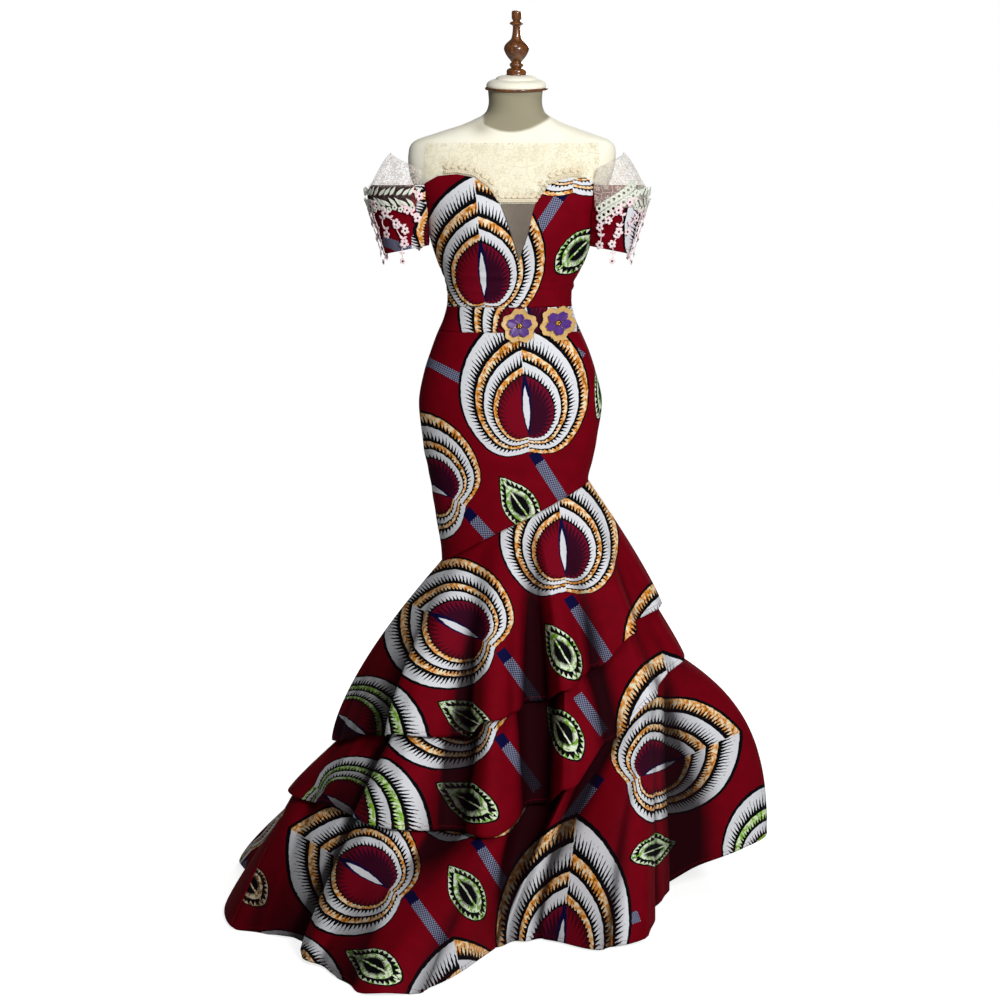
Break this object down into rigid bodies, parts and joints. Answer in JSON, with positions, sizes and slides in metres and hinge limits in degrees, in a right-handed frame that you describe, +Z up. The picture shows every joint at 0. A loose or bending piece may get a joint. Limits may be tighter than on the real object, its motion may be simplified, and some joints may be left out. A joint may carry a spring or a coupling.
{
  "type": "trumpet maxi dress on a dress form",
  "caption": "Off-shoulder trumpet maxi dress in printed cotton with slanted flounces and lace sleeve caps, worn by a limbless dress form on a stand.",
  "frame": {"origin": "on the floor under the middle of the stand's base", "axes": "+Z up, the front of the dress faces -Y, +X to the right as seen from the front"},
  "size_m": [1.063, 1.2349, 1.7162],
  "materials": {
    "printed_cotton": "matte",
    "cream_net": "sheer",
    "taupe_mesh": "sheer",
    "white_lace": "matte",
    "flower_chain": "matte",
    "gold_satin": "satin",
    "purple_satin": "satin",
    "cream_jersey": "matte",
    "dark_wood": "satin",
    "painted_steel": "satin"
  },
  "bodies": {
    "root": {"belt_flower_left_gold": "gold_satin", "belt_flower_left_purple": "purple_satin", "belt_flower_right_gold": "gold_satin", "belt_flower_right_purple": "purple_satin", "bodice_back_left": "printed_cotton", "bodice_back_right": "printed_cotton", "bodice_front": "printed_cotton", "flounce_1_back": "printed_cotton", "flounce_1_front": "printed_cotton", "flounce_2_back": "printed_cotton", "flounce_2_front": "printed_cotton", "flounce_3_back": "printed_cotton", "flounce_3_front": "printed_cotton", "flower_chains_left": "flower_chain", "flower_chains_right": "flower_chain", "form_base": "painted_steel", "form_finial": "dark_wood", "form_neck_cap": "cream_jersey", "form_pole": "painted_steel", "form_torso": "cream_jersey", "lace_cap_left_back": "white_lace", "lace_cap_left_front": "white_lace", "lace_cap_right_back": "white_lace", "lace_cap_right_front": "white_lace", "neck_inset": "taupe_mesh", "skirt_back_left": "printed_cotton", "skirt_back_right": "printed_cotton", "skirt_front": "printed_cotton", "sleeve_left": "printed_cotton", "sleeve_right": "printed_cotton", "waistband_back": "printed_cotton", "waistband_front": "printed_cotton", "yoke_back": "cream_net", "yoke_front": "cream_net"}
  },
  "joints": []
}
